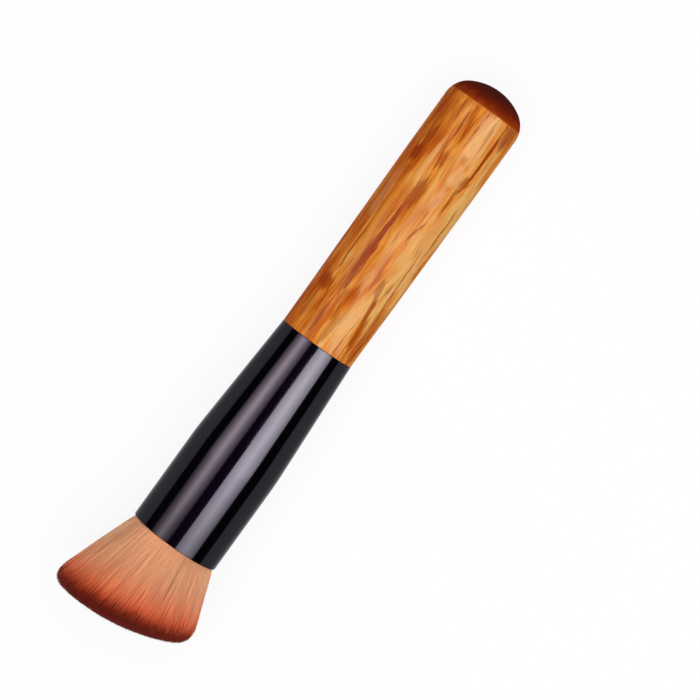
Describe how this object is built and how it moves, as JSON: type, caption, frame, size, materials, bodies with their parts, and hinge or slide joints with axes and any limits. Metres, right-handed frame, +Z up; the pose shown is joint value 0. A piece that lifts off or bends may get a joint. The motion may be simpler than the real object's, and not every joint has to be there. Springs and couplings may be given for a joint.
{
  "type": "foundation brush",
  "caption": "Foundation make-up brush lying on its side: dense round head with a slanted, slightly domed face, tapered metal ferrule and turned wooden handle with a domed end.",
  "frame": {"origin": "centre of the footprint of the lying brush, on the table", "axes": "+X along the brush from the head to the handle's end, as seen from above; +Y towards the longer side of the slanted head; +Z up"},
  "size_m": [0.154, 0.0346, 0.034],
  "materials": {
    "lacquered_wood": "clear gloss lacquer over turned, stained hardwood with dark streaks; the domed end is stained dark",
    "black_anodised_aluminium": "drawn aluminium, polished and anodised black, with a violet cast in its reflections",
    "filament": "fine synthetic filaments, copper at the base, orange red above, dark brown tips",
    "binding_thread": "plain waxed thread",
    "potting_resin": "cast epoxy resin",
    "wood_glue": "set adhesive"
  },
  "bodies": {
    "root": {"handle": "lacquered_wood", "ferrule": "black_anodised_aluminium", "bristle_tuft": "filament", "knot_thread": "binding_thread", "epoxy_plug": "potting_resin", "tenon_glue": "wood_glue"}
  },
  "joints": []
}
